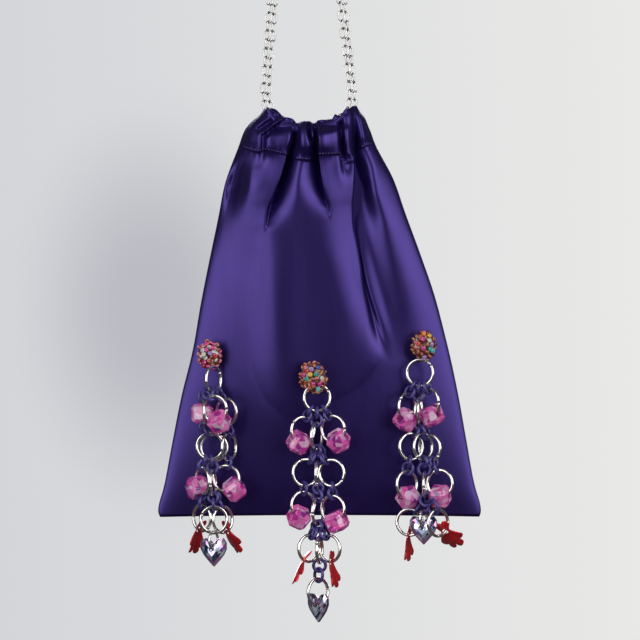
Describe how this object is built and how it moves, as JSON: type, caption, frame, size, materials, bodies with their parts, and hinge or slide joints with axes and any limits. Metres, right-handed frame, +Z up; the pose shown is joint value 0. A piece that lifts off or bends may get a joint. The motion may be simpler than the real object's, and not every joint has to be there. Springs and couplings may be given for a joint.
{
  "type": "satin drawstring pouch bag with jewelled ring drops",
  "caption": "Soft satin drawstring pouch gathered on a doubled chain handle, with jewelled drops of linked rings, faceted beads, flower sequins and cut hearts on its front.",
  "frame": {"origin": "the underside of the top bend of the chain handle, where the bag hangs", "axes": "+Z up along the hanging bag, -Y towards its front with the drops, +X to the right seen from the front"},
  "size_m": [0.1872, 0.0482, 0.5002],
  "materials": {
    "satin": "glossy purple satin",
    "chain_steel": "polished steel cable chain",
    "steel_rings": "polished steel jump rings with purple links",
    "pink_acrylic": "clear pink, faceted",
    "cut_crystal": "cut crystal with a rainbow coating",
    "red_foil": "glossy red foil",
    "seed_beads": "mixed glass seed beads"
  },
  "bodies": {
    "root": {"front_panel": "satin", "back_panel": "satin", "handle_chain_front": "chain_steel", "handle_chain_back": "chain_steel", "left_bead_cluster": "seed_beads", "left_drop_rings": "steel_rings", "left_cube_bead_1": "pink_acrylic", "left_cube_bead_2": "pink_acrylic", "left_cube_bead_3": "pink_acrylic", "left_cube_bead_4": "pink_acrylic", "left_flower_1": "red_foil", "left_flower_2": "red_foil", "left_heart": "cut_crystal", "middle_bead_cluster": "seed_beads", "middle_drop_rings": "steel_rings", "middle_cube_bead_1": "pink_acrylic", "middle_cube_bead_2": "pink_acrylic", "middle_cube_bead_3": "pink_acrylic", "middle_cube_bead_4": "pink_acrylic", "middle_flower_1": "red_foil", "middle_flower_2": "red_foil", "middle_heart": "cut_crystal", "right_bead_cluster": "seed_beads", "right_drop_rings": "steel_rings", "right_cube_bead_1": "pink_acrylic", "right_cube_bead_2": "pink_acrylic", "right_cube_bead_3": "pink_acrylic", "right_cube_bead_4": "pink_acrylic", "right_flower_1": "red_foil", "right_flower_2": "red_foil", "right_heart": "cut_crystal"}
  },
  "joints": []
}
